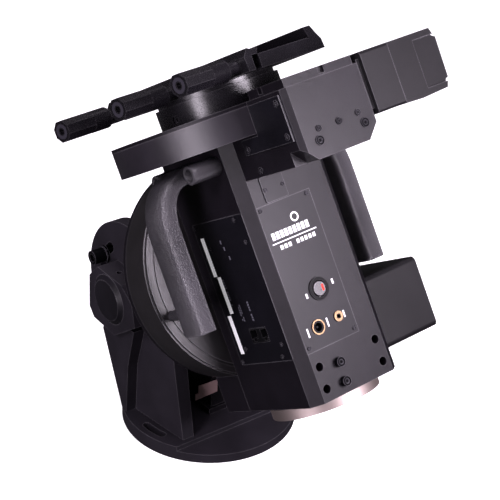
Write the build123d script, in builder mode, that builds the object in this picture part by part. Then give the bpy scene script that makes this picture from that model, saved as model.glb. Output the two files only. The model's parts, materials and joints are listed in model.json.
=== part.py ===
"""A large German equatorial mount head on its round pier flange.

Millimetres, +Z up. The origin is the centre of the pier flange's lower face, X is the altitude axis, and the
right-ascension axis lies in the Y-Z plane and points forward (-Y) and up.
"""

import math
import os

from build123d import *

# ---- driving dimensions ------------------------------------------------------------------------------------
latitude = 32.25  # tilt of the right-ascension (polar) axis at rest
hour_angle = 3.16  # lean of the declination body about the polar axis at rest
saddle_turn = 12.6  # turn of the saddle about the declination axis at rest
pivot_y = 52.0  # altitude axis, along X
pivot_z = 154.5
pivot_to_crossing = 187.2  # altitude axis to declination axis, along the polar axis
crossing_drop = 153.8  # top of the declination wheel housing down to the polar axis

flange_r = 98.0  # pier flange
flange_low = 11.0
flange_high = 16.5
chord_y = -54.5  # where the flange steps down to the front
slot_pitch_r = 86.0  # curved bolt slots, M8
slot_half_width = 4.5

arm_inner_x = 55.0  # fork arms
ear_outer_x = 72.0
rib_outer_x = 91.5
boss_outer_x = 98.0
ear_r = 80.0
lock_r = 54.0  # altitude lock bolts, about the altitude axis
lock_angle = 29.0
lowest_latitude = 15.0
highest_latitude = 65.0

polar_tube_r = 50.0  # polar housing behind the wheel
trunnion_half = 54.6
trunnion_r = 64.0
polar_shaft_r = 24.98
polar_rear = 252.0
sector_r = 90.0  # altitude sector and its worm
altitude_worm_r = 8.0
contact_angle = -120.0  # about the altitude axis, where the worm meets the sector
wheel_front = 56.0  # right-ascension wheel housing, along the polar axis behind the crossing
wheel_back = 102.7
wheel_r = 118.8
worm_wheel_r = 109.75  # tip circle of both worm wheels, 435 teeth of module 0.5

body_half = 55.8  # declination body
body_front = 65.4
chamfer = 10.9
body_bottom = -298.5
body_top = -31.0
ring_r = 119.0  # declination wheel housing
ring_bottom = -30.7
bore_r = 36.0
shaft_r = 29.98
seat_r = 44.0

gearbox_front = 171.0  # declination worm housing
box_half = 44.7
gearbox_bottom = -71.0
strip_top = 8.6
motor_end = 143.0

hub_r = 64.6
hub_top = 20.5
saddle_bottom = 25.0
saddle_top = 49.7
saddle_half = 56.0
saddle_front = 105.0
saddle_rear = 101.0
knob_z = 33.6
knob_pitch = 88.0
knob_end = 134.0
lower_flange_r = 57.1
lower_flange_bottom = -310.3
gap = 0.3  # clearance between parts that turn past each other

# ---- frames ------------------------------------------------------------------------------------------------
tilt = math.radians(latitude)
lean = math.radians(hour_angle)
polar_forward = Vector(0, -math.cos(tilt), math.sin(tilt))
polar_up = Vector(0, math.sin(tilt), math.cos(tilt))
crossing = Vector(0, pivot_y, pivot_z) + polar_forward * pivot_to_crossing
dec_up = polar_up * math.cos(lean) - Vector(1, 0, 0) * math.sin(lean)
dec_right = Vector(1, 0, 0) * math.cos(lean) + polar_up * math.sin(lean)

base = Location((0, 0, 0))
# polar: x right, y back along the polar axis, origin at the crossing of the two axes
polar = Plane(origin=crossing, x_dir=(1, 0, 0), z_dir=polar_up).location
# head: z up the declination axis, y back along the polar axis, origin at the top of the wheel housing
head = Plane(origin=crossing + dec_up * crossing_drop, x_dir=dec_right, z_dir=dec_up).location
# saddle: turned about the declination axis, -y to the front end, the knobs stick out along -x
saddle = head * Location((0, 0, 0), (0, 0, saddle_turn))

# facing: (x direction, normal); the sketch's second axis is always up, or back on a horizontal face
FACINGS = {
    "+z": ((1, 0, 0), (0, 0, 1)),
    "-z": ((1, 0, 0), (0, 0, -1)),
    "-y": ((1, 0, 0), (0, -1, 0)),
    "+y": ((-1, 0, 0), (0, 1, 0)),
    "-x": ((0, -1, 0), (-1, 0, 0)),
    "+x": ((0, 1, 0), (1, 0, 0)),
}


def face(frame, facing, at=(0, 0, 0)):
    """A plane in one of the frames, through a point, looking one of six ways."""
    x_dir, normal = FACINGS[facing]
    return Plane(frame * Plane(origin=at, x_dir=x_dir, z_dir=normal).location)


def disc(frame, facing, at, radius, depth, bore=0, mode=Mode.ADD):
    """A round, or a ring with a bore, extruded from a face."""
    with BuildSketch(face(frame, facing, at)) as profile:
        Circle(radius)
        if bore:
            Circle(bore, mode=Mode.SUBTRACT)
    extrude(profile.sketch, amount=depth, mode=mode)


def block(frame, facing, at, width, height, depth, corner=0, mode=Mode.ADD):
    """A rectangle centred on a point of a face, extruded along its normal."""
    with BuildSketch(face(frame, facing, at)) as profile:
        if corner:
            RectangleRounded(width, height, corner)
        else:
            Rectangle(width, height)
    extrude(profile.sketch, amount=depth, mode=mode)


def plate(frame, facing, at, points, depth, mode=Mode.ADD, corner=0):
    """A polygon extruded from a face, with its corners rounded on request."""
    with BuildSketch(face(frame, facing, at)) as profile:
        Polygon(*points, align=None)
        if corner:
            fillet(profile.vertices(), corner)
    extrude(profile.sketch, amount=depth, mode=mode)


def holes(frame, facing, at, places, radius, depth, mode=Mode.SUBTRACT):
    """Round holes, or pins in ADD mode, at places given in the face's own two axes."""
    with BuildSketch(face(frame, facing, at)) as profile:
        with Locations(*places):
            Circle(radius)
    extrude(profile.sketch, amount=depth, mode=mode)


finished = []


def save(builder, label):
    """Label the finished piece and keep it for export."""
    builder.part.label = label
    finished.append(builder.part)


# ---- pier flange and fork ----------------------------------------------------------------------------------
def arc_slot(frame, facing, at, centre, radius, start, sweep, half_width, depth, mirror=1):
    """A slot along an arc, cut as an arc-shaped band with round ends."""
    ends = [math.radians(start), math.radians(start + sweep)]
    reach = 2 * radius
    wedge = [(0, 0), (reach * math.cos(ends[0]), reach * math.sin(ends[0])),
             (reach * 1.3 * math.cos(sum(ends) / 2), reach * 1.3 * math.sin(sum(ends) / 2)),
             (reach * math.cos(ends[1]), reach * math.sin(ends[1]))]
    with BuildSketch(face(frame, facing, at)) as band:
        with Locations((mirror * centre[0], centre[1])):
            Circle(radius + half_width)
            Circle(radius - half_width, mode=Mode.SUBTRACT)
        corners = [(mirror * (centre[0] + x), centre[1] + y) for x, y in wedge]
        Polygon(*corners, align=None, mode=Mode.INTERSECT)
        for angle in ends:
            with Locations((mirror * (centre[0] + radius * math.cos(angle)), centre[1] + radius * math.sin(angle))):
                Circle(half_width)
    extrude(band.sketch, amount=depth, mode=Mode.SUBTRACT)


with BuildPart() as pier_flange:
    disc(base, "+z", (0, 0, 0), flange_r, flange_high, bore=8.0)
    front_cut = flange_r + chord_y + 20
    block(base, "+z", (0, chord_y - front_cut / 2, flange_low), 240, front_cut, 20, mode=Mode.SUBTRACT)
    for angle in (182, 342, 52, 112):
        arc_slot(base, "+z", (0, 0, -1), (0, 0), slot_pitch_r, angle, 16, slot_half_width, 30)
    disc(base, "-z", (0, 0, 3), 30, 10, mode=Mode.SUBTRACT)
    block(base, "+z", (0, 82, -1), 28, 11, 30, mode=Mode.SUBTRACT)
save(pier_flange, "pier_flange")

arm_side = [(-48.5, flange_high), (38, flange_high), (74, 103), (110, 130), (-26, 150), (-32, 113)]
rib_side = [(30, flange_high), (38, flange_high), (76, 103), (70, 130), (14, 130), (26, 80)]
boss_side = [(75, 184), (92, 166), (93, 126), (84, 115.5), (42, 114), (2, 144), (8, 170), (28, 184)]
lock_spread = (latitude - lowest_latitude, highest_latitude - latitude)


def polar_point(radius, degrees):
    """A point about the altitude axis, in the Y-Z plane."""
    angle = math.radians(degrees)
    return (pivot_y + radius * math.cos(angle), pivot_z + radius * math.sin(angle))


def make_arm(side, label):
    """One fork arm: a leaning plate, a rear rib, an octagonal pivot boss and the ear with the lock slot."""
    inner = side * arm_inner_x
    depth = {1: "+x", -1: "-x"}[side]

    def flip(points):
        return [(side * y, z) for y, z in points]

    with BuildPart() as arm:
        plate(base, depth, (inner, 0, 0), flip(arm_side), 40)
        footprint = [(55, -60), (67.6, -60), (78.8, 26), (78.8, 140), (55, 140)]
        with BuildSketch(Plane.XY) as plan:
            Polygon(*[(side * x, y) for x, y in footprint], align=None)
        extrude(plan.sketch, amount=400, mode=Mode.INTERSECT)
        with BuildSketch(face(base, depth, (inner, 0, 0))) as ear:
            with Locations((side * pivot_y, pivot_z)):
                Circle(ear_r)
        extrude(ear.sketch, amount=ear_outer_x - arm_inner_x)
        plate(base, depth, (side * ear_outer_x, 0, 0), flip(rib_side), rib_outer_x - ear_outer_x)
        plate(base, depth, (side * ear_outer_x, 0, 0), flip(boss_side), boss_outer_x - ear_outer_x)
        start = lock_angle - lock_spread[1] - 1
        sweep = sum(lock_spread) + 2
        arc_slot(base, depth, (0, 0, 0), (pivot_y, pivot_z), lock_r, start, sweep, 5.5, 130, mirror=side)
        holes(base, depth, (0, 0, 0), flip([(pivot_y, pivot_z)]), 16.02, 130)
        holes(base, depth, (side * (boss_outer_x - 4), 0, 0), flip([(pivot_y, pivot_z)]), 28.5, 10)
        holes(base, "-z", (side * 85, 52, 190), [(0, 0)], 3, 12)
    save(arm, label)


make_arm(-1, "fork_arm_left")
make_arm(1, "fork_arm_right")

with BuildPart() as pivot_pins:
    for facing, side in (("-x", -1), ("+x", 1)):
        disc(base, facing, (side * 44, pivot_y, pivot_z), 16.0, boss_outer_x - 48 - gap)
save(pivot_pins, "pivot_pins")

with BuildPart() as pivot_caps:
    for facing, side in (("-x", -1), ("+x", 1)):
        disc(base, facing, (side * (boss_outer_x - 4), pivot_y, pivot_z), 28.3, 4)
        with BuildSketch(face(base, facing, (side * boss_outer_x, pivot_y, pivot_z))) as rim:
            Circle(28.3)
        extrude(rim.sketch, amount=4, taper=52)
save(pivot_caps, "pivot_caps")

lug_y = 82.0  # azimuth screws bear on a peg that stands on the pier
lug_z = 24.5
with BuildPart() as azimuth_lug:
    block(base, "+z", (0, lug_y, flange_high), 50, 20, 16)
    block(base, "+z", (0, lug_y, flange_high - 1), 28, 11, 12, mode=Mode.SUBTRACT)
    disc(base, "+x", (-30, lug_y, lug_z), 4.05, 60, mode=Mode.SUBTRACT)
save(azimuth_lug, "azimuth_lug")

for facing, side, label in (("-x", -1, "azimuth_screw_left"), ("+x", 1, "azimuth_screw_right")):
    with BuildPart() as azimuth_screw:
        disc(base, facing, (side * 6, lug_y, lug_z), 4.0, 24)
        disc(base, facing, (side * 30, lug_y, lug_z), 7.0, 14)
    save(azimuth_screw, label)

# ---- altitude worm drive -----------------------------------------------------------------------------------
worm_y, worm_z = polar_point(sector_r + altitude_worm_r + gap, contact_angle)
worm_back = Vector(0, -math.sin(math.radians(contact_angle)), math.cos(math.radians(contact_angle)))
# worm frame: z back along the worm shaft, x across the mount
worm_line = Plane(origin=(0, worm_y, worm_z), x_dir=(1, 0, 0), z_dir=worm_back).location

with BuildPart() as altitude_worm:
    disc(worm_line, "+z", (0, 0, -32), 5.0, 94)
    disc(worm_line, "+z", (0, 0, -17), altitude_worm_r - 1.6, 34)
    for ridge in range(6):
        disc(worm_line, "+z", (0, 0, -17 + 6 * ridge), altitude_worm_r, 3)
    disc(worm_line, "+z", (0, 0, 50), 12.0, 12)
    for turn in range(8):
        angle = math.radians(45 * turn)
        disc(worm_line, "+z", (13 * math.cos(angle), 13 * math.sin(angle), 49), 2.5, 14, mode=Mode.SUBTRACT)
save(altitude_worm, "altitude_worm")

with BuildPart() as altitude_bracket:
    for place in (-28, 22):
        block(worm_line, "+z", (0, 0, place), 26, 20, 8, corner=4)
        foot = worm_line * Location((0, 0, place + 4))
        block(base, "+z", (0, foot.position.Y, flange_high), 26, 9, foot.position.Z - flange_high - 4)
    disc(worm_line, "+z", (0, 0, -40), 5.04, 90, mode=Mode.SUBTRACT)
    block(worm_line, "+z", (0, 0, -20), 60, 30, 42, mode=Mode.SUBTRACT)
    block(base, "+z", (0, 6, flange_high), 36, 64, 7)
save(altitude_bracket, "altitude_bracket")

front_foot_y = min((worm_line * Location((0, 0, place + 4))).position.Y for place in (-28, 22)) - 4.5
with BuildPart() as altitude_scale:
    outline = [(-35.5, 41), (-6, 42), (-6, 57.5), (-31.5, 59), (-31.5, 49.5), (-35.5, 49)]
    plate(base, "-y", (0, front_foot_y, 0), outline, 1.2)
save(altitude_scale, "altitude_scale")

# ---- polar housing, rides on the altitude axis ---------------------------------------------------------------
with BuildPart() as altitude_sector:
    with BuildSketch(face(polar, "+x", (-7, pivot_to_crossing, 0))) as wheel:
        Circle(sector_r)
        Circle(trunnion_r, mode=Mode.SUBTRACT)
        with Locations((0, 46)):
            Rectangle(200, 200, mode=Mode.SUBTRACT)
    extrude(wheel.sketch, amount=14)
save(altitude_sector, "altitude_sector")

bearing_places = (108.0, 226.0)  # along the polar axis
with BuildPart() as polar_housing:
    disc(polar, "+y", (0, 70, 0), polar_tube_r, polar_rear - 70)
    disc(polar, "+x", (-trunnion_half, pivot_to_crossing, 0), trunnion_r, 2 * trunnion_half)
    disc(polar, "+y", (0, 69, 0), 30, 40, mode=Mode.SUBTRACT)
    disc(polar, "+y", (0, bearing_places[0], 0), 40, polar_rear, mode=Mode.SUBTRACT)
    for facing, side in (("-x", -1), ("+x", 1)):
        disc(base, facing, (side * 44, pivot_y, pivot_z), 16.0, 40, mode=Mode.SUBTRACT)
        holes(base, facing, (side * 46, 0, 0), [(side * y, z) for y, z in [polar_point(lock_r, lock_angle)]], 5, 20)
save(polar_housing, "polar_housing")

with BuildPart() as altitude_lock_bolts:
    for facing, side in (("-x", -1), ("+x", 1)):
        places = [(side * y, z) for y, z in [polar_point(lock_r, lock_angle)]]
        holes(base, facing, (side * 46, 0, 0), places, 5, ear_outer_x - 42, mode=Mode.ADD)
        holes(base, facing, (side * (ear_outer_x + gap), 0, 0), places, 9.5, 3, mode=Mode.ADD)
        holes(base, facing, (side * (ear_outer_x + 3), 0, 0), places, 8, 15, mode=Mode.ADD)
        holes(base, facing, (side * (ear_outer_x + 10), 0, 0), places, 4.5, 10)
save(altitude_lock_bolts, "altitude_lock_bolts")

with BuildPart() as polar_bearings:
    for place in bearing_places:
        disc(polar, "+y", (0, place, 0), 40, 18, bore=25.0)
save(polar_bearings, "polar_bearings")

with BuildPart() as polar_rear_cap:
    disc(polar, "+y", (0, polar_rear, 0), 44, 10)
    disc(polar, "+y", (0, polar_rear - 1, 0), 37, 8, mode=Mode.SUBTRACT)
save(polar_rear_cap, "polar_rear_cap")

# ---- right-ascension group, turns about the polar axis -------------------------------------------------------
axis_z = -crossing_drop  # polar axis in the head frame
ra_wheel_y = wheel_front + 6.0
worm_r = 7.0
wheel_depth = 12.0
ra_worm_y = ra_wheel_y + wheel_depth / 2
ra_worm_z = axis_z - worm_wheel_r - worm_r - gap
dec_worm_y = -worm_wheel_r - worm_r - gap
dec_worm_z = -20.0
dec_wheel_z = dec_worm_z - wheel_depth / 2
carrier_top = -259.0
carrier_back = 100.0

with BuildPart() as ra_wheel_housing:
    disc(head, "+y", (0, wheel_front, axis_z), 116.7, 3)
    disc(head, "+y", (0, wheel_front + 2.5, axis_z), wheel_r, wheel_back - wheel_front - 8.7)
    disc(head, "-y", (0, wheel_front + 1.4, axis_z), 110.5, 3, bore=107.5, mode=Mode.SUBTRACT)
    disc(head, "+y", (0, ra_wheel_y, axis_z), 112, 60, mode=Mode.SUBTRACT)
    disc(head, "+y", (0, wheel_front - 1, axis_z), 48, 20, mode=Mode.SUBTRACT)
    block(head, "+y", (0, wheel_front - 1, -310), 2 * body_half, -2 * (-310 - carrier_top), 80, mode=Mode.SUBTRACT)
save(ra_wheel_housing, "ra_wheel_housing")

with BuildPart() as ra_wheel_cover:
    disc(head, "+y", (0, wheel_back - 6.2, axis_z), wheel_r, 6.2, bore=polar_tube_r + 0.6)
    block(head, "+y", (0, wheel_front - 1, -310), 2 * body_half, -2 * (-310 - carrier_top), 80, mode=Mode.SUBTRACT)
save(ra_wheel_cover, "ra_wheel_cover")

with BuildPart() as ra_worm_wheel:
    disc(head, "+y", (0, ra_wheel_y, axis_z), worm_wheel_r, wheel_depth, bore=polar_tube_r + 1)
    for turn in range(6):
        angle = math.radians(60 * turn + 30)
        hole = (80 * math.cos(angle), ra_wheel_y - 1, axis_z + 80 * math.sin(angle))
        disc(head, "+y", hole, 18, wheel_depth + 2, mode=Mode.SUBTRACT)
save(ra_worm_wheel, "ra_worm_wheel")

with BuildPart() as ra_shaft:
    disc(head, "+y", (0, wheel_front, axis_z), 48, 10)
    disc(head, "+y", (0, wheel_front, axis_z), polar_shaft_r, 190)
    disc(head, "+y", (0, wheel_front - 1, axis_z), 15, 200, mode=Mode.SUBTRACT)
save(ra_shaft, "ra_shaft")

with BuildPart() as ra_lock_nut:
    disc(head, "+y", (0, wheel_front + 190, axis_z), 31, 8, bore=15)
save(ra_lock_nut, "ra_lock_nut")

with BuildPart() as ra_worm_carrier:
    carrier_height = carrier_top - body_bottom
    carrier_depth = carrier_back - wheel_front
    carrier_mid = (carrier_top + body_bottom) / 2
    block(head, "+y", (0, wheel_front, carrier_mid), 2 * body_half, carrier_height, carrier_depth)
    disc(head, "+y", (0, ra_wheel_y, axis_z), 112, carrier_depth - 12, mode=Mode.SUBTRACT)
    disc(head, "+x", (-46, ra_worm_y, ra_worm_z), 9.5, 120, mode=Mode.SUBTRACT)
save(ra_worm_carrier, "ra_worm_carrier")


def make_worm(y, z, end, pulley_x, pulley_r, label):
    """A worm on its shaft with the driven belt pulley at the motor end."""
    with BuildPart() as worm:
        disc(head, "+x", (-end, y, z), 4.0, end + pulley_x + 8)
        disc(head, "+x", (-25, y, z), worm_r - 1.2, 50)
        for ridge in range(12):
            disc(head, "+x", (-24 + 4 * ridge, y, z), worm_r, 2)
        disc(head, "+x", (pulley_x, y, z), pulley_r, 8)
    save(worm, label)


pulley_x = 62.0
motor_x = 84.0
drives = {
    "ra": ((ra_worm_y, ra_worm_z), (20.0, -259.5), 46.0, 9.5),
    "dec": ((dec_worm_y, dec_worm_z), (-149.0, -21.0), 37.0, 9.0),
}  # worm (y, z), motor (y, z), outer end of the worm bearings, their radius

for name, (worm_at, motor_at, end, seat) in drives.items():
    make_worm(*worm_at, end, pulley_x, 8.0, name + "_worm")
    with BuildPart() as motor_pulley:
        pulley_end = motor_x - 2 - gap
        disc(head, "+x", (pulley_x, *motor_at), 2.5, pulley_end - pulley_x)
        disc(head, "+x", (pulley_x, *motor_at), 5.0, 8)
    save(motor_pulley, name + "_motor_pulley")

with BuildPart() as worm_bearings:
    for worm_at, motor_at, end, seat in drives.values():
        for facing, side in (("-x", -1), ("+x", 1)):
            disc(head, facing, (side * (end - 8), *worm_at), seat, 8, bore=4.03)
save(worm_bearings, "worm_bearings")

with BuildPart() as drive_motors:
    for worm_at, motor_at, end, seat in drives.values():
        block(head, "+x", (motor_x, *motor_at), 42, 42, 44, corner=4)
        disc(head, "-x", (motor_x, *motor_at), 11, 2)
save(drive_motors, "drive_motors")

with BuildPart() as drive_belts:
    for worm_at, motor_at, end, seat in drives.values():
        for extra, mode in ((1.4, Mode.ADD), (0, Mode.SUBTRACT)):
            with BuildSketch(face(head, "+x", (pulley_x + 1, 0, 0))) as band:
                with Locations(worm_at):
                    Circle(8.0 + gap + extra)
                with Locations(motor_at):
                    Circle(5.0 + gap + extra)
                make_hull()
            extrude(band.sketch, amount=6, mode=mode)
save(drive_belts, "drive_belts")

box_bottom = -285.0
box_top = -208.0
box_mid = (box_bottom + box_top) / 2
with BuildPart() as ra_box_inside:
    block(head, "+x", (body_half - 1, 26, box_mid), 105, box_top - box_bottom - 7, motor_end - body_half - 3, corner=4)
    disc(head, "+y", (0, wheel_front - 3, axis_z), wheel_r + 3, 60, mode=Mode.SUBTRACT)

with BuildPart() as ra_motor_box:
    block(head, "+x", (body_half, 26, box_mid), 112, box_top - box_bottom, motor_end - body_half, corner=6)
    disc(head, "+y", (0, wheel_front, axis_z), wheel_r, 60, mode=Mode.SUBTRACT)
    add(ra_box_inside.part, mode=Mode.SUBTRACT)
    block(head, "+x", (motor_x, 20, -281.75), 30, 2.5, 36)
save(ra_motor_box, "ra_motor_box")

panel_x = -11.85  # power panel on the front of the body
panel_z = -173.4
with BuildPart() as dec_body:
    outline = [(-body_half, -body_front + chamfer), (-body_half + chamfer, -body_front),
               (body_half - chamfer, -body_front), (body_half, -body_front + chamfer),
               (body_half, wheel_front), (-body_half, wheel_front)]
    plate(head, "+z", (0, 0, body_bottom), outline, body_top - body_bottom)
    disc(head, "+z", (0, 0, body_bottom), bore_r, 300, mode=Mode.SUBTRACT)
    disc(head, "+z", (0, 0, body_bottom), seat_r, 15, mode=Mode.SUBTRACT)
    disc(head, "-z", (0, 0, body_top), seat_r, 15, mode=Mode.SUBTRACT)
    block(head, "+y", (panel_x, -body_front - 1, panel_z), 60, 143, 22, corner=4, mode=Mode.SUBTRACT)
    block(head, "+y", (panel_x, -body_front - 1, panel_z), 66.1, 149.3, 3.6, mode=Mode.SUBTRACT)
    block(head, "+x", (-body_half - 1, -7.3, -173.2), 94.5, 150.5, 3.2, corner=2, mode=Mode.SUBTRACT)
    holes(head, "+y", (0, -body_front - 1, 0), [(-35.9, -262.5), (-36.2, -285.9), (36.9, -263.5), (37.3, -286.2)], 4.5, 16)
    holes(head, "+y", (0, -body_front - 1, 0), [(14.7, -267), (15.6, -286.6)], 3, 16)
    block(head, "+x", (-body_half - 1, -11.5, -219.5), 34, 18, 14, mode=Mode.SUBTRACT)
save(dec_body, "dec_body")

with BuildPart() as power_panel:
    block(head, "-y", (panel_x, -body_front + 2.6, panel_z), 66.1, 149.3, 2.6)
    disc(head, "+y", (-7.5, -body_front - 1, -193.2), 10.6, 6, mode=Mode.SUBTRACT)
    disc(head, "+y", (-23.1, -body_front - 1, -227.4), 6.0, 6, mode=Mode.SUBTRACT)
    disc(head, "+y", (3.3, -body_front - 1, -225.9), 4.0, 6, mode=Mode.SUBTRACT)
save(power_panel, "power_panel")

with BuildPart() as label_panel:
    block(head, "-x", (-body_half + 2.2, -7.3, -173.2), 94.5, 150.5, 2.2, corner=2)
    block(head, "+x", (-body_half - 1, -11.5, -219.5), 29.8, 15, 6, mode=Mode.SUBTRACT)
save(label_panel, "label_panel")

with BuildPart() as small_cover_plate:
    block(head, "-y", (-17.9, -body_front, -85.1), 27.2, 25.2, 1.5, corner=2)
save(small_cover_plate, "small_cover_plate")

with BuildPart() as switch_bezel:
    disc(head, "-y", (-7.5, -body_front + 4.6, -193.2), 10.5, 6, bore=8.4)
    disc(head, "-y", (-7.5, -body_front, -193.2), 11.6, 1.6, bore=8.4)
    disc(head, "+z", (-7.5, -62.4, -203.1), 1.35, 19.8, mode=Mode.SUBTRACT)
save(switch_bezel, "switch_bezel")

with BuildPart() as power_rocker:
    disc(head, "-y", (-7.5, -body_front + 7, -193.2), 7.4, 9.4)
    fillet(power_rocker.faces().sort_by(Axis.Z)[-1].edges(), 0.8)
    disc(head, "+z", (-7.5, -62.4, -202.8), 1.2, 19.2)
save(power_rocker, "power_rocker")

with BuildPart() as panel_sockets:
    block(head, "-x", (-body_half + 2.2, -11.5, -219.5), 29.8, 15, 3)
    block(head, "+x", (-body_half + 2.2, -11.5, -219.5), 29.8, 15, 9.8)
    for y in (-3.3, -22.7):
        block(head, "+x", (-body_half - 1, y, -218), 12, 9, 11, mode=Mode.SUBTRACT)
        block(head, "+x", (-body_half - 1, y, -223.5), 5, 4, 11, mode=Mode.SUBTRACT)
    for x, z, barrel, flange, hole in ((-23.1, -227.4, 6.0, 7.6, 4.4), (3.3, -225.9, 4.0, 5.4, 1.9)):
        disc(head, "-y", (x, -body_front + 10, z), barrel, 10)
        disc(head, "-y", (x, -body_front, z), flange, 1.2)
        disc(head, "+y", (x, -body_front - 2, z), hole, 9, mode=Mode.SUBTRACT)
    disc(head, "-y", (-23.1, -body_front + 9, -227.4), 1.0, 8)
save(panel_sockets, "panel_sockets")

with BuildPart() as circuit_board:
    board_y = -body_front + 16
    block(head, "-y", (-11.85, board_y, -173.4), 56, 138, 1.6)
    for z, width in ((-135, 14), (-165, 20), (-205, 12)):
        block(head, "-y", (-30, board_y - 1.6, z), width, width, 3)
    for x, z in ((-36, -110), (12, -110), (-36, -236), (12, -236)):
        disc(head, "+y", (x, board_y, z), 3, 5)
save(circuit_board, "circuit_board")


def screw(frame, facing, at, radius, height=1.0):
    """A low socket head, sunk a little into its own hexagon."""
    disc(frame, facing, at, radius, height)
    recess = Vector(*at) + Vector(*FACINGS[facing][1]) * (height - 0.7)
    with BuildSketch(face(frame, facing, tuple(recess))) as hexagon:
        RegularPolygon(radius * 0.5, 6)
    extrude(hexagon.sketch, amount=2, mode=Mode.SUBTRACT)


with BuildPart() as case_screws:
    for x, z in ((16.2, -102.4), (16.7, -243.0), (-41, -102.4), (-41, -243.0)):
        screw(head, "-y", (x, -body_front, z), 2.2)
    for x in (-28.4, -7.4):
        screw(head, "-y", (x, -body_front - 1.5, -85.1), 2.0)
    for y, z in ((36, -102.6), (-39.2, -102.5), (-46.2, -126.0), (20.9, -126.2),
                 (22.1, -232.1), (-45.4, -231.1), (-39.4, -243.8), (36, -245.3)):
        screw(head, "-x", (-body_half, y, z), 2.4)
    for x, z in ((-14.7, -267.0), (-15.6, -286.6)):
        disc(head, "-y", (x, -body_front + 15, z), 3.0, 15)
        screw(head, "-y", (x, -body_front, z), 5.0, 6)
    for x, z, radius in ((-20.6, -44.4, 3.1), (-23.6, -54.9, 4.7), (3.6, -44.5, 3.5),
                         (27.1, -43.3, 3.1), (31.3, -54.2, 4.7)):
        screw(head, "-y", (x, -gearbox_front, z), radius, 1.4)
    for y, z in ((-158.8, -10.6), (-158.6, -42.2), (-91, -42.6)):
        screw(head, "-x", (-box_half - 2, y, z), 3.3)
    screw(head, "-x", (-box_half, -96.9, -64.8), 3.4, 1.2)
save(case_screws, "case_screws")

# ---- carry handles -------------------------------------------------------------------------------------------
handle_z = -47.5  # the two bosses that hold each handle at the top
handle_side = [(121, -196), (121, -98), (114, -72), (99, -49), (87, -38), (body_half, -38), (body_half, -56),
               (76, -56), (90, -74), (98.5, -100), (98.5, -196)]


def make_handle(side, label):
    """A grip down the side that curves in at the top, two bosses on the body and a foot on the wheel housing."""
    out = {1: "+x", -1: "-x"}[side]
    root = side * body_half
    with BuildPart() as handle:
        plate(head, "-y", (0, 18, 0), [(side * x, z) for x, z in handle_side], 32)
        disc(head, "+y", (side * 107, 18, -176), 5.5, wheel_front - 18)
        for y, length in ((-42, 33), (44, 20)):
            disc(head, out, (root, y, handle_z), 9.5, length)
            block(head, out, (root, y / 2, handle_z), abs(y), 15, 16)
            disc(head, out, (side * (body_half + 12), y, handle_z), 6.0, 40, mode=Mode.SUBTRACT)
    save(handle, label)


make_handle(-1, "carry_handle_left")
make_handle(1, "carry_handle_right")

# ---- declination wheel housing and worm housing, on the body -------------------------------------------------
with BuildPart() as dec_wheel_housing:
    disc(head, "+z", (0, 0, ring_bottom), ring_r, -3.5 - ring_bottom)
    disc(head, "+z", (0, 0, dec_wheel_z), 112, 40, mode=Mode.SUBTRACT)
    disc(head, "+z", (0, 0, ring_bottom - 1), bore_r, 40, mode=Mode.SUBTRACT)
    block(head, "+z", (0, dec_worm_y, dec_worm_z - 9.4), 89.4, 18.8, 18.8, mode=Mode.SUBTRACT)
    block(head, "+z", (0, 0, ring_bottom - 1), 2 * body_half, 2 * body_half, body_top - ring_bottom + 1,
          mode=Mode.SUBTRACT)
save(dec_wheel_housing, "dec_wheel_housing")

with BuildPart() as dec_wheel_cover:
    disc(head, "+z", (0, 0, -3.5), ring_r, 3.5, bore=bore_r)
save(dec_wheel_cover, "dec_wheel_cover")

with BuildPart() as dec_worm_wheel:
    disc(head, "+z", (0, 0, dec_wheel_z), worm_wheel_r, wheel_depth, bore=46)
    for turn in range(6):
        angle = math.radians(60 * turn)
        hole = (78 * math.cos(angle), 78 * math.sin(angle), dec_wheel_z - 1)
        disc(head, "+z", hole, 19, wheel_depth + 2, mode=Mode.SUBTRACT)
save(dec_worm_wheel, "dec_worm_wheel")

with BuildPart() as dec_bearings:
    disc(head, "+z", (0, 0, body_bottom), seat_r, 15, bore=30.0)
    disc(head, "-z", (0, 0, body_top), seat_r, 15, bore=30.0)
save(dec_bearings, "dec_bearings")

with BuildPart() as dec_worm_housing:
    outline = [(-box_half, -gearbox_front + 5), (-box_half + 5, -gearbox_front), (box_half, -gearbox_front),
               (box_half, -body_front), (-box_half, -body_front)]
    plate(head, "+z", (0, 0, gearbox_bottom), outline, -gearbox_bottom)
    block(head, "+z", (0, -141, 0), 2 * box_half - 8, 60, strip_top)
    disc(head, "+z", (0, 0, ring_bottom), ring_r, 60, mode=Mode.SUBTRACT)
    disc(head, "+x", (-38, dec_worm_y, dec_worm_z), 9.0, 100, mode=Mode.SUBTRACT)
    plate(head, "-y", (0, -gearbox_front + 20, 0), [(-46, -72), (-29.7, -72), (-46, -56)], 40, mode=Mode.SUBTRACT)
    plate(head, "-y", (0, -gearbox_front + 20, 0), [(46, -72), (29.7, -72), (46, -56)], 40, mode=Mode.SUBTRACT)
    block(head, "-y", (0, -gearbox_front + 0.8, strip_top / 2 + 0.4), 100, strip_top + 0.8, 10, mode=Mode.SUBTRACT)
    block(head, "+z", (4.0, -gearbox_front, 2), 7, 9, 20, mode=Mode.SUBTRACT)
    block(head, "+z", (-box_half + 4, -132, 2), 9, 7, 20, mode=Mode.SUBTRACT)
save(dec_worm_housing, "dec_worm_housing")

with BuildPart() as dec_side_plate:
    outline = [(113, -4), (164.5, -4), (164.5, -48), (84, -48), (84, -33), (113, -33)]
    plate(head, "-x", (-box_half, 0, 0), outline, 2)
save(dec_side_plate, "dec_side_plate")

motor_y = -122.0
motor_z = (strip_top - 51) / 2
with BuildPart() as dec_box_inside:
    block(head, "+x", (box_half + 5, motor_y, motor_z), 100, 51.5, 92, corner=2)
    disc(head, "+z", (0, 0, ring_bottom - 3), ring_r + 3, 60, mode=Mode.SUBTRACT)

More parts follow.
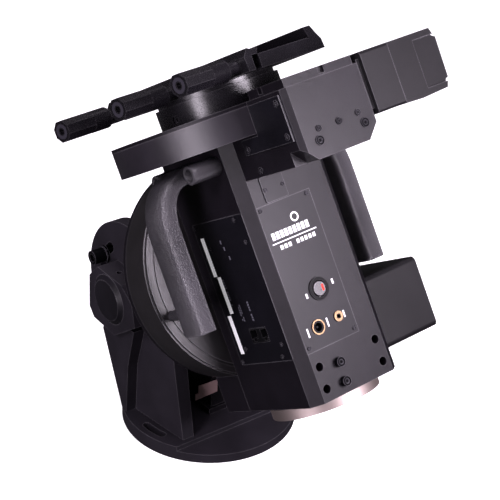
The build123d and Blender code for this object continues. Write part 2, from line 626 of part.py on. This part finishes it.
with BuildPart() as dec_motor_adapter:
    block(head, "+x", (box_half, motor_y, motor_z), 98, 48, 2.8)
    block(head, "+x", (box_half + 2.8, motor_y, motor_z), 108, 59.5, 82 - box_half - 2.8, corner=3)
    disc(head, "+z", (0, 0, ring_bottom), ring_r, 60, mode=Mode.SUBTRACT)
    add(dec_box_inside.part, mode=Mode.SUBTRACT)
    disc(head, "+x", (box_half - 1, dec_worm_y, dec_worm_z), 9.0, 10, mode=Mode.SUBTRACT)
save(dec_motor_adapter, "dec_motor_adapter")

with BuildPart() as dec_motor_cap:
    profile = [(82, -51), (103, -52.3), (135.5, -50.7), (139.1, -42.6), (142.3, -41.5), (143.1, -1.4),
               (138.8, 0.8), (135.8, 8.5), (82, 8.5)]
    plate(head, "-y", (0, motor_y + 54, 0), profile, 108)
    disc(head, "+z", (0, 0, ring_bottom), ring_r, 60, mode=Mode.SUBTRACT)
    add(dec_box_inside.part, mode=Mode.SUBTRACT)
    block(head, "+x", (motor_x + 4, -149, -46.5), 30, 9, 36)
    block(head, "-y", (133, motor_y - 51, -21.5), 42, 47, 10, mode=Mode.SUBTRACT)
save(dec_motor_cap, "dec_motor_cap")

# ---- declination group, turns about the declination axis -----------------------------------------------------
with BuildPart() as dec_shaft:
    disc(head, "+z", (0, 0, body_bottom - gap), shaft_r, -body_bottom + 2 * gap)
    disc(head, "+z", (0, 0, body_bottom - 1), 10.0, 60, mode=Mode.SUBTRACT)
    disc(head, "+z", (0, 0, body_bottom + 58), 19.0, 300, mode=Mode.SUBTRACT)
save(dec_shaft, "dec_shaft")

clutch = head * Location((0, 0, 0), (0, 0, -79.4))  # -y points out along the clutch screw
with BuildPart() as dec_hub:
    disc(head, "+z", (0, 0, gap), hub_r, hub_top - gap)
    disc(head, "+z", (0, 0, hub_top), 61.0, saddle_bottom - hub_top)
    disc(clutch, "-y", (0, -54, 6.5), 4.5, 14, mode=Mode.SUBTRACT)
save(dec_hub, "dec_hub")

with BuildPart() as clutch_screw:
    disc(clutch, "-y", (0, -54.2, 6.5), 4.2, 8.0)
    with BuildSketch(face(clutch, "-y", (0, -59.2, 6.5))) as hexagon:
        RegularPolygon(2.4, 6)
    extrude(hexagon.sketch, amount=5, mode=Mode.SUBTRACT)
save(clutch_screw, "clutch_screw")

with BuildPart() as dec_lower_flange:
    disc(head, "-z", (0, 0, body_bottom - gap), lower_flange_r, -lower_flange_bottom + body_bottom - gap, bore=10.0)
save(dec_lower_flange, "dec_lower_flange")

# ---- saddle --------------------------------------------------------------------------------------------------
saddle_length = saddle_front + saddle_rear
floor_z = 39.0
base_edge = 38.0
with BuildPart() as saddle_base:
    profile = [(-base_edge, saddle_bottom), (56.3, saddle_bottom), (55.1, 34.5), (50.5, 40.5), (44.6, saddle_top),
               (34.5, saddle_top), (38.5, floor_z - 0.8), (35.5, floor_z - 0.8), (35.5, floor_z),
               (-base_edge, floor_z)]
    plate(saddle, "-y", (0, saddle_rear, 0), profile, saddle_length)
    for pitch in (-1, 0, 1):
        disc(saddle, "-x", (0, -1.8 + pitch * knob_pitch, knob_z), 3.05, 60, mode=Mode.SUBTRACT)
    for y in (-46, 42):
        disc(saddle, "-x", (-20, y, knob_z), 4.0, 30, mode=Mode.SUBTRACT)
    for x, y in ((-26, -20), (26, -20), (-26, 26), (26, 26)):
        disc(saddle, "-z", (x, y, floor_z), 5.5, 6, mode=Mode.SUBTRACT)
save(saddle_base, "saddle_base")

with BuildPart() as turntable_screws:
    for x, y in ((-26, -20), (26, -20), (-26, 26), (26, 26)):
        screw(saddle, "+z", (x, y, floor_z - 6), 5.5, 5)
    for turn in range(6):
        angle = math.radians(60 * turn + 30)
        screw(head, "-z", (22 * math.cos(angle), 22 * math.sin(angle), lower_flange_bottom), 4.0, 2.5)
save(turntable_screws, "turntable_screws")

with BuildPart() as jaw_guide_pins:
    for y in (-46, 42):
        disc(saddle, "-x", (-20, y, knob_z), 4.0, 34)
save(jaw_guide_pins, "jaw_guide_pins")

with BuildPart() as moving_jaw:
    profile = [(-56.3, saddle_bottom + gap), (-57.2, 39.6), (-50.6, 46.9), (-44.6, 44.6), (-36.5, 44.6),
               (-39.0, floor_z + gap), (-47, floor_z + gap), (-47, saddle_bottom + gap)]
    plate(saddle, "-y", (0, saddle_rear, 0), profile, saddle_length)
    for y in (-46, 42):
        disc(saddle, "-x", (-40, y, knob_z), 4.03, 30, mode=Mode.SUBTRACT)
    for pitch in (-1, 0, 1):
        disc(saddle, "-x", (-40, -1.8 + pitch * knob_pitch, knob_z), 3.03, 30, mode=Mode.SUBTRACT)
        disc(saddle, "-x", (-56.4, -1.8 + pitch * knob_pitch, knob_z), 7, 10, mode=Mode.SUBTRACT)
save(moving_jaw, "moving_jaw")

for pitch, label in ((-1, "clamp_knob_front"), (0, "clamp_knob_middle"), (1, "clamp_knob_rear")):
    knob_y = -1.8 + pitch * knob_pitch
    with BuildPart() as clamp_knob:
        disc(saddle, "-x", (-24, knob_y, knob_z), 3.0, 34)
        disc(saddle, "-x", (-56.5, knob_y, knob_z), 6.3, 19)
        disc(saddle, "-x", (-75, knob_y, knob_z), 10.8, 22)
        with BuildSketch(face(saddle, "-x", (-97, knob_y, knob_z))) as grip:
            RegularPolygon(11.4, 8, rotation=22.5)
        extrude(grip.sketch, amount=knob_end - 97)
        with BuildSketch(face(saddle, "+x", (-knob_end - 1, knob_y, knob_z))) as socket:
            RegularPolygon(3.5, 6)
        extrude(socket.sketch, amount=7, mode=Mode.SUBTRACT)
    save(clamp_knob, label)

os.makedirs("parts", exist_ok=True)
for piece in finished:
    export_step(piece, f"parts/{piece.label}.step")
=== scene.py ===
"""Visual scene of the equatorial mount: the CAD frame dressed with bevels, materials and small visual pieces."""

import json
import math

import bmesh
import bpy
from mathutils import Matrix, Vector


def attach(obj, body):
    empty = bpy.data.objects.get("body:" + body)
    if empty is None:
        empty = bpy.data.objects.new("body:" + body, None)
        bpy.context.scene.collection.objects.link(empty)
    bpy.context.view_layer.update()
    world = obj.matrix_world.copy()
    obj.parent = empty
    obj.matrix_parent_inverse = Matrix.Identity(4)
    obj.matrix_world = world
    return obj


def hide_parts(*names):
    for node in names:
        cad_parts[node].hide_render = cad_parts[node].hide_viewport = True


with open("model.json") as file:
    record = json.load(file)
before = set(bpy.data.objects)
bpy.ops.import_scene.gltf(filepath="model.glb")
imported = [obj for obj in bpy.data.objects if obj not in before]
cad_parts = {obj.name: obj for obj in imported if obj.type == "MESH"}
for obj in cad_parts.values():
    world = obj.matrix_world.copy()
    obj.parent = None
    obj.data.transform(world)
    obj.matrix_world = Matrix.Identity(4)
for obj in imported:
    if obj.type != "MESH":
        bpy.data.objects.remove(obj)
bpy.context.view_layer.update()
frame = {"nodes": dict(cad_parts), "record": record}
nodes = frame["nodes"]
MM = 0.001

# ---- the assembly's own frames, as in the CAD ----------------------------------------------------------------
LATITUDE = math.radians(32.25)
LEAN = math.radians(3.16)
SADDLE_TURN = math.radians(12.6)
polar_forward = Vector((0, -math.cos(LATITUDE), math.sin(LATITUDE)))
polar_up = Vector((0, math.sin(LATITUDE), math.cos(LATITUDE)))
crossing = Vector((0, 52.0, 154.5)) + polar_forward * 187.2
dec_up = polar_up * math.cos(LEAN) - Vector((1, 0, 0)) * math.sin(LEAN)
dec_right = Vector((1, 0, 0)) * math.cos(LEAN) + polar_up * math.sin(LEAN)
dec_back = dec_up.cross(dec_right)


def frame_matrix(origin, x, y, z):
    m = Matrix((x, y, z)).transposed().to_4x4()
    m.translation = origin * MM
    return m


HEAD = frame_matrix(crossing + dec_up * 153.8, dec_right, dec_back, dec_up)
SADDLE = HEAD @ Matrix.Rotation(SADDLE_TURN, 4, "Z")

# ---- materials -----------------------------------------------------------------------------------------------


def material(name, color, rough=0.5, metallic=0.0, grain=900.0, grain_depth=0.0002, mottle=0.25, edge=0.35,
             edge_color=(0.32, 0.31, 0.33), streak=None, spec=0.16, emission=0.0):
    """A surface with fine grain, uneven roughness, slow mottling and lighter edges: rubbed wear on most surfaces, a
    painted highlight on black steel.
    """
    mat = bpy.data.materials.new(name)
    mat.use_nodes = True
    tree = mat.node_tree
    tree.nodes.clear()
    new = tree.nodes.new
    link = tree.links.new
    out = new("ShaderNodeOutputMaterial")
    bsdf = new("ShaderNodeBsdfPrincipled")
    link(bsdf.outputs["BSDF"], out.inputs["Surface"])
    coords = new("ShaderNodeTexCoord")
    source = coords.outputs["Object"]
    if streak:
        scale = new("ShaderNodeMapping")
        scale.inputs["Scale"].default_value = streak
        link(source, scale.inputs["Vector"])
        source = scale.outputs["Vector"]
    slow = new("ShaderNodeTexNoise")
    slow.inputs["Scale"].default_value = 22.0
    slow.inputs["Detail"].default_value = 5.0
    link(coords.outputs["Object"], slow.inputs["Vector"])
    fine = new("ShaderNodeTexNoise")
    fine.inputs["Scale"].default_value = grain
    fine.inputs["Detail"].default_value = 3.0
    link(source, fine.inputs["Vector"])
    tone = new("ShaderNodeMapRange")
    tone.inputs["From Min"].default_value = 0.3
    tone.inputs["From Max"].default_value = 0.7
    tone.inputs["To Min"].default_value = 1.0 - mottle
    tone.inputs["To Max"].default_value = 1.0 + mottle
    link(slow.outputs["Fac"], tone.inputs["Value"])
    shade = new("ShaderNodeVectorMath")
    shade.operation = "SCALE"
    shade.inputs[0].default_value = color
    link(tone.outputs["Result"], shade.inputs["Scale"])
    base_color = shade.outputs["Vector"]
    # lighter edge colour: rubbed wear on most surfaces, a painted highlight where the specular is turned down (black
    # steel)
    if edge > 0:
        bevel = new("ShaderNodeBevel")
        bevel.samples = 4
        bevel.inputs["Radius"].default_value = 0.0011
        geometry = new("ShaderNodeNewGeometry")
        dot = new("ShaderNodeVectorMath")
        dot.operation = "DOT_PRODUCT"
        link(bevel.outputs["Normal"], dot.inputs[0])
        link(geometry.outputs["Normal"], dot.inputs[1])
        wear_and_glint = new("ShaderNodeMapRange")
        wear_and_glint.inputs["From Min"].default_value = 0.995
        wear_and_glint.inputs["From Max"].default_value = 0.90
        wear_and_glint.inputs["To Min"].default_value = 0.0
        wear_and_glint.inputs["To Max"].default_value = edge
        link(dot.outputs["Value"], wear_and_glint.inputs["Value"])
        wear_and_glint_mask = new("ShaderNodeMath")
        wear_and_glint_mask.operation = "MULTIPLY"
        link(wear_and_glint.outputs["Result"], wear_and_glint_mask.inputs[0])
        link(slow.outputs["Fac"], wear_and_glint_mask.inputs[1])
        mix = new("ShaderNodeMix")
        mix.data_type = "RGBA"
        link(wear_and_glint_mask.outputs["Value"], mix.inputs["Factor"])
        link(base_color, mix.inputs["A"])
        mix.inputs["B"].default_value = (*edge_color, 1)
        base_color = mix.outputs["Result"]
    link(base_color, bsdf.inputs["Base Color"])
    uneven = new("ShaderNodeMapRange")
    uneven.inputs["From Min"].default_value = 0.3
    uneven.inputs["From Max"].default_value = 0.7
    uneven.inputs["To Min"].default_value = max(rough - 0.07, 0.03)
    uneven.inputs["To Max"].default_value = min(rough + 0.07, 1.0)
    link(fine.outputs["Fac"], uneven.inputs["Value"])
    link(uneven.outputs["Result"], bsdf.inputs["Roughness"])
    bump = new("ShaderNodeBump")
    bump.inputs["Strength"].default_value = 0.5
    bump.inputs["Distance"].default_value = grain_depth
    link(fine.outputs["Fac"], bump.inputs["Height"])
    link(bump.outputs["Normal"], bsdf.inputs["Normal"])
    bsdf.inputs["Metallic"].default_value = metallic
    bsdf.inputs["Specular IOR Level"].default_value = spec
    if emission:
        bsdf.inputs["Emission Color"].default_value = (*color, 1)
        bsdf.inputs["Emission Strength"].default_value = emission
    return mat


black_casting = material("black casting", (0.0060, 0.0050, 0.0070), rough=0.34, grain=1500, grain_depth=0.00035)
arm_casting = material("fork casting", (0.0130, 0.0115, 0.0150), rough=0.46, grain=1400, grain_depth=0.0003,
                       spec=0.22)
black_plate = material("black plate", (0.0075, 0.0068, 0.0088), rough=0.38, grain=1900, grain_depth=0.00012, edge=0.5)
black_cover = material("motor cover", (0.0060, 0.0055, 0.0065), rough=0.46, grain=1500, grain_depth=0.0002)
handle_grip = material("handle grip", (0.030, 0.028, 0.033), rough=0.36, grain=1000, grain_depth=0.005, mottle=0.35,
                       edge=0.1, spec=0.9)
wheel_casting = material("wheel casting", (0.012, 0.011, 0.012), rough=0.38, grain=1500, grain_depth=0.0003, spec=0.4)
wheel_rim = material("turned casting", (0.014, 0.012, 0.016), rough=0.36, grain=1500, grain_depth=0.0002, spec=0.5)
side_plate = material("side plate", (0.0045, 0.0042, 0.0062), rough=0.34, grain=1900, grain_depth=0.0001, edge=0.5,
                      spec=0.18)
turned_black = material("turned black", (0.0060, 0.0054, 0.0070), rough=0.25, grain=1200, grain_depth=0.00001,
                        edge=0.2, spec=0.5)
bright = material("bright flange", (0.37, 0.31, 0.29), rough=0.52, metallic=1.0, grain=220, streak=(1, 12, 20),
                  grain_depth=0.0001, mottle=0.08, edge=0.3, edge_color=(0.6, 0.58, 0.56))
steel = material("steel", (0.36, 0.35, 0.34), rough=0.32, metallic=1.0, grain=800, mottle=0.1, edge=0.2,
                 edge_color=(0.8, 0.8, 0.8))
# painted highlight: black steel has almost no specular, so its light edge colour draws the glints on screw heads and
# hexes
black_steel = material("black steel", (0.002, 0.002, 0.0025), rough=0.34, grain=1400, edge=0.6,
                       edge_color=(0.28, 0.27, 0.30), spec=0.01)
rocker_grey = material("rocker grey", (0.022, 0.020, 0.022), rough=0.30, grain=900, mottle=0.1, edge=0.2, spec=0.5)
bronze = material("bronze", (0.30, 0.14, 0.06), rough=0.38, metallic=1.0, grain=900, mottle=0.2, edge=0.2,
                  edge_color=(0.6, 0.4, 0.2))
scale_plate = material("scale plate", (0.62, 0.42, 0.41), rough=0.5, grain=1200, mottle=0.15, edge=0.2)
belt_rubber = material("belt rubber", (0.02, 0.02, 0.02), rough=0.8, grain=900, edge=0.1)
motor_case = material("motor case", (0.05, 0.05, 0.05), rough=0.5, grain=1000)
switch_black = material("switch black", (0.004, 0.004, 0.0045), rough=0.35, grain=800, grain_depth=0.00005, edge=0.2,
                        spec=0.05)
brass = material("brass ring", (0.16, 0.105, 0.06), rough=0.34, metallic=1.0, grain=900, mottle=0.1, edge=0)
knob_face = material("knob face", (0.030, 0.028, 0.036), rough=0.4, grain=1400, mottle=0.1, edge=0)
board = material("circuit board", (0.03, 0.16, 0.06), rough=0.4, grain=600, edge=0.1)
white_ink = material("white ink", (0.80, 0.80, 0.82), rough=0.5, grain=1500, mottle=0.06, edge=0)
# painted light: the bar ink glows (emission 0.35) so the white side bars stay bright in the handle's shade
bar_ink_painted_glow = material("bar ink painted glow", (0.80, 0.80, 0.82), rough=0.5, grain=1500, mottle=0.06, edge=0, emission=0.35)
grey_ink = material("grey ink", (0.10, 0.10, 0.12), rough=0.5, grain=1500, mottle=0.1, edge=0)
red_lens = material("red lens", (0.75, 0.03, 0.02), rough=0.15, grain=500, mottle=0.1, edge=0, emission=0.6)

by_slot = {
    "black_casting": black_casting, "black_plate": black_plate, "black_cover": black_cover,
    "handle_grip": handle_grip, "turned_black": turned_black, "bright_flange": bright, "steel": steel,
    "black_steel": black_steel, "bronze": bronze, "scale_plate": scale_plate, "belt_rubber": belt_rubber,
    "motor_case": motor_case, "socket_metal": switch_black, "switch_plastic": switch_black, "board": board,
}
special = {"label_panel": side_plate, "dec_side_plate": side_plate, "ra_wheel_housing": wheel_casting,
           "dec_wheel_housing": wheel_rim,
           "power_rocker": rocker_grey, "fork_arm_left": arm_casting, "fork_arm_right": arm_casting, "pier_flange": arm_casting}
bevels = {
    "pier_flange": 1.0, "fork_arm_left": 0.9, "fork_arm_right": 0.9, "polar_housing": 1.0, "ra_wheel_housing": 0.9,
    "ra_wheel_cover": 0.9, "ra_worm_carrier": 0.8, "dec_body": 0.8, "dec_wheel_housing": 0.8, "dec_wheel_cover": 0.6,
    "dec_worm_housing": 0.9, "dec_motor_adapter": 0.7, "dec_motor_cap": 1.2, "ra_motor_box": 1.0, "dec_hub": 0.8,
    "dec_lower_flange": 0.7, "saddle_base": 0.7, "moving_jaw": 0.7, "clamp_knob_front": 0.5,
    "clamp_knob_middle": 0.5, "clamp_knob_rear": 0.5, "pivot_caps": 0.6, "label_panel": 0.25, "power_panel": 0.25,
    "small_cover_plate": 0.3, "dec_side_plate": 0.3, "carry_handle_left": 2.0, "carry_handle_right": 2.0,
    "switch_bezel": 0.3, "power_rocker": 0.4,
}
slots = {entry["node"]: entry["material_slot"] for entry in frame["record"]["subparts"]}
for name, obj in nodes.items():
    obj.data.materials.clear()
    obj.data.materials.append(special.get(name, by_slot[slots[name]]))
    if name in bevels:
        soften = obj.modifiers.new("soften", "BEVEL")
        soften.width = bevels[name] * MM
        soften.segments = 2
        soften.limit_method = "ANGLE"
        soften.angle_limit = math.radians(32)
        soften.harden_normals = False
        soften.use_clamp_overlap = True

# ---- generic marks and small visual pieces -------------------------------------------------------------------


def mesh_object(name, build, placed, mat, body):
    """A mesh made in one of the assembly's frames, in millimetres, that rides with a CAD body."""
    data = bpy.data.meshes.new(name)
    work = bmesh.new()
    build(work)
    bmesh.ops.scale(work, vec=(MM, MM, MM), verts=work.verts)
    bmesh.ops.transform(work, matrix=placed, verts=work.verts)
    bmesh.ops.recalc_face_normals(work, faces=work.faces)
    work.to_mesh(data)
    work.free()
    obj = bpy.data.objects.new(name, data)
    bpy.context.scene.collection.objects.link(obj)
    obj.data.materials.append(mat)
    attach(obj, body)
    return obj


def box_mesh(work, low, high):
    """Adds a box between two corners, in millimetres."""
    made = bmesh.ops.create_cube(work, size=1.0)
    centre = [(a + b) / 2 for a, b in zip(low, high)]
    extent = [b - a for a, b in zip(low, high)]
    bmesh.ops.scale(work, vec=extent, verts=made["verts"])
    bmesh.ops.translate(work, vec=centre, verts=made["verts"])


def marks(name, boxes, mat, placed=HEAD, body="ra_body"):
    """Printed marks, as one very thin piece."""
    def build(work):
        for low, high in boxes:
            box_mesh(work, low, high)
    return mesh_object(name, build, placed, mat, body)


side = -55.8  # left face of the declination body
side_bars = []
for y, low, high in ((30.0, -154.0, -113.0), (24.4, -194.0, -155.0), (31.0, -237.0, -196.0)):
    side_bars.append(((side - 0.12, y - 3.2, low), (side, y + 3.2, high)))
# the side bars use the glowing ink: painted light that keeps them bright in the handle's shade
marks("side_panel_bars", side_bars, bar_ink_painted_glow)
side_lines = []
for y, z, length, width in ((18.5, -158, 30, 1.3), (8.6, -188, 17, 0.9), (5.6, -186, 19, 0.9),
                            (-10.5, -184, 22, 1.3)):
    count = int(length / 2.6)
    for i in range(count):
        if i % 5 != 4:
            top = z - 2.6 * i
            side_lines.append(((side - 0.12, y - width, top - 2.0), (side, y + width, top)))
for y, z in ((-1.5, -119), (-4.0, -126), (-8.0, -136)):
    side_lines.append(((side - 0.12, y - 1.2, z - 4), (side, y + 1.2, z)))
marks("side_panel_lines", side_lines, grey_ink)

front = -65.4  # its front face
front_marks = []
for i in range(9):
    x = -38.5 + 5.2 * i
    front_marks.append(((x, front - 0.12, -133.6), (x + 3.9, front, -126.4)))
front_marks.append(((-40.5, front - 0.12, -137.6), (14.0, front, -136.5)))
for i in range(9):
    if i != 3:
        x = -33.0 + 5.0 * i
        front_marks.append(((x, front - 0.12, -144.4), (x + 3.4, front, -140.2)))
for x, z, width, height in ((9.6, -189.5, 2.2, 5.0), (-24.5, -193.0, 2.2, 5.0), (-37.0, -224.5, 1.8, 9.0),
                            (-11.5, -222.5, 1.8, 9.0), (10.0, -222.5, 1.8, 7.0)):
    front_marks.append(((x, front - 0.12, z - height), (x + width, front, z)))
marks("front_panel_marks", front_marks, white_ink)


def disc_mesh(work, centre, radius, depth, facing, segments=40, inner=0.0):
    """Adds a disc or ring facing along an axis, in millimetres."""
    if inner:
        rings = []
        for r in (radius, inner):
            for level in (0.0, depth):
                ring = []
                for k in range(segments):
                    a = 2 * math.pi * k / segments
                    ring.append(work.verts.new((r * math.cos(a), r * math.sin(a), level)))
                rings.append(ring)
        outer_low, outer_high, inner_low, inner_high = rings
        for k in range(segments):
            n = (k + 1) % segments
            work.faces.new((outer_low[k], outer_low[n], outer_high[n], outer_high[k]))
            work.faces.new((inner_high[k], inner_high[n], inner_low[n], inner_low[k]))
            work.faces.new((outer_high[k], outer_high[n], inner_high[n], inner_high[k]))
            work.faces.new((outer_low[n], outer_low[k], inner_low[k], inner_low[n]))
        verts = [v for ring in rings for v in ring]
    else:
        made = bmesh.ops.create_cone(work, cap_ends=True, segments=segments, radius1=radius, radius2=radius,
                                     depth=depth)
        verts = made["verts"]
        bmesh.ops.translate(work, vec=(0, 0, depth / 2), verts=verts)
    turn = Vector((0, 0, 1)).rotation_difference(Vector(facing)).to_matrix()
    bmesh.ops.rotate(work, matrix=turn, verts=verts)
    bmesh.ops.translate(work, vec=centre, verts=verts)


mesh_object("front_panel_ring", lambda work: disc_mesh(work, (-6.0, front, -119.0), 4.8, 0.12, (0, -1, 0), 48,
                                                       inner=3.2),
            HEAD, white_ink, "ra_body")
mesh_object("rocker_light", lambda work: box_mesh(work, (-4.9, -67.9, -196.4), (-2.7, -67.4, -190.0)), HEAD,
            red_lens, "rocker_body")



def socket_rings(work):
    disc_mesh(work, (-23.1, -66.6, -227.4), 7.5, 0.25, (0, -1, 0), 48, inner=6.2)
    disc_mesh(work, (3.3, -66.6, -225.9), 5.2, 0.25, (0, -1, 0), 40, inner=2.6)


mesh_object("socket_rings", socket_rings, HEAD, brass, "ra_body")
for label, y in (("front", -89.8), ("middle", -1.8), ("rear", 86.2)):
    mesh_object("knob_face_" + label, lambda work: disc_mesh(work, (-134.0, y, 33.6), 7.6, 0.15, (-1, 0, 0), 40,
                                                             inner=4.2),
                SADDLE, knob_face, "knob_" + label + "_body")


def grip_mesh(side):
    """A carry handle: a rounded strip that curves in at the top, its two bosses and its foot."""
    line = [(109.8, -196.5), (109.8, -194), (109.8, -175), (109.8, -150), (109.8, -125), (109.7, -102),
            (109.0, -86), (105.5, -71), (98.5, -59), (88.5, -51), (77.0, -47.6), (66.0, -47), (56.0, -47)]
    smooth = []
    for k in range(len(line) - 1):
        for step in range(4):
            t = step / 4
            before = line[max(k - 1, 0)]
            after = line[min(k + 2, len(line) - 1)]
            point = []
            for a, b, c, d in zip(before, line[k], line[k + 1], after):
                point.append(0.5 * (2 * b + (c - a) * t + (2 * a - 5 * b + 4 * c - d) * t * t
                                    + (3 * b - a - 3 * c + d) * t ** 3))
            smooth.append(point)
    smooth.append(line[-1])

    def build(work):
        rings = []
        for k, (x, z) in enumerate(smooth):
            ahead_k = smooth[min(k + 1, len(smooth) - 1)]
            behind_k = smooth[max(k - 1, 0)]
            along = Vector((ahead_k[0] - behind_k[0], 0, ahead_k[1] - behind_k[1])).normalized()
            out = Vector((along.z, 0, -along.x))
            tuck = 0.80 if k == 0 else 0.93 if k == 1 else 1.0
            width = 9.0 + 2.2 * min(max((x - 86.0) / 20.0, 0.0), 1.0)
            ring = []
            for step in range(28):
                angle = 2 * math.pi * step / 28
                u = math.copysign(abs(math.cos(angle)) ** 0.52, math.cos(angle)) * width * tuck
                v = math.copysign(abs(math.sin(angle)) ** 0.52, math.sin(angle)) * 18.4 * tuck
                spot = Vector((x, 2.0, z)) + out * u + Vector((0, v, 0))
                ring.append(work.verts.new((side * spot.x, spot.y, spot.z)))
            rings.append(ring)
        for low, high in zip(rings, rings[1:]):
            for step in range(28):
                n = (step + 1) % 28
                work.faces.new((low[step], low[n], high[n], high[step]))
        work.faces.new(rings[0])
        work.faces.new(list(reversed(rings[-1])))
        for y, length in ((-42.0, 33.0), (44.0, 20.0)):
            disc_mesh(work, (side * 55.8, y, -47.5), 9.5, length, (side, 0, 0), 40, inner=6.2)
            disc_mesh(work, (side * 55.8, y, -47.5), 6.2, 12.0, (side, 0, 0), 24)
            low_y, high_y = sorted((y * 0.8, 0.0))
            box_mesh(work, (min(side * 55.8, side * 70.8), low_y, -55.0),
                     (max(side * 55.8, side * 70.8), high_y, -40.0))
        disc_mesh(work, (side * 103.0, 14.0, -176.0), 5.5, 42.0, (0, 1, 0), 24)
    return build


for side_sign, label in ((-1, "left"), (1, "right")):
    mesh_object("boss_screws_" + label, lambda work: [disc_mesh(work, (side_sign * 67.9, y, -47.5), 5.9, 0.4,
                                                                (side_sign, 0, 0), 32) for y in (-42.0, 44.0)],
                HEAD, black_steel, "ra_body")
    grip = mesh_object("grip_" + label, grip_mesh(side_sign), HEAD, handle_grip, "ra_body")
    for face in grip.data.polygons:
        face.use_smooth = True
    rounding = grip.modifiers.new("soften", "BEVEL")
    rounding.width = 0.8 * MM
    rounding.segments = 2
    rounding.limit_method = "ANGLE"
    rounding.angle_limit = math.radians(50)
    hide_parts("carry_handle_" + label)

# ---- camera, light and floor ---------------------------------------------------------------------------------
right = Vector((0.8002077, -0.59883544, 0.03261537))
up = Vector((0.27512728, 0.41488142, 0.86728219))
ahead = Vector((0.53289082, 0.6850325, -0.49674726))
lens = bpy.data.cameras.new("camera")
lens.sensor_width = 36.0
lens.lens = 111.598
lens.clip_end = 20
camera = bpy.data.objects.new("camera", lens)
bpy.context.scene.collection.objects.link(camera)
view = Matrix((right, up, -ahead)).transposed().to_4x4()
view.translation = Vector((-850.95, -1159.26, 1034.16)) * MM
camera.matrix_world = view
bpy.context.scene.camera = camera

world = bpy.data.worlds.new("world")
bpy.context.scene.world = world
world.use_nodes = True
world.node_tree.nodes["Background"].inputs["Color"].default_value = (1, 0.96, 1, 1)
world.node_tree.nodes["Background"].inputs["Strength"].default_value = 0.04


def lamp(name, place, target, size, power):
    """A square soft light with a faint magenta tint, aimed at a point."""
    data = bpy.data.lights.new(name, "AREA")
    data.shape = "SQUARE"
    data.size = size
    data.energy = power
    data.color = (1.0, 0.90, 1.03)
    obj = bpy.data.objects.new(name, data)
    bpy.context.scene.collection.objects.link(obj)
    obj.location = place
    obj.rotation_euler = (Vector(target) - Vector(place)).to_track_quat("-Z", "Y").to_euler()


lamp("key", (-1.9, -0.4, 1.9), (-0.1, -0.15, 0.25), 0.9, 45)
lamp("top", (0.3, 0.5, 2.2), (0, -0.1, 0.2), 1.4, 30)
lamp("front_right", (0.30, -1.05, 0.80), (-0.05, -0.15, 0.32), 0.45, 30)
lamp("front_left", (-2.3, -0.9, 0.5), (-0.1, -0.15, 0.25), 0.9, 40)

mesh = bpy.data.meshes.new("floor")
grid = bmesh.new()
bmesh.ops.create_grid(grid, x_segments=1, y_segments=1, size=8)
grid.to_mesh(mesh)
grid.free()
floor = bpy.data.objects.new("floor", mesh)
bpy.context.scene.collection.objects.link(floor)
floor.data.materials.append(material("floor", (0.86, 0.86, 0.86), rough=0.9, grain=40, mottle=0.01, edge=0,
                                     grain_depth=0.00001, emission=0.75))
floor.visible_glossy = False
floor.visible_diffuse = False
bpy.context.scene.view_settings.view_transform = "Standard"
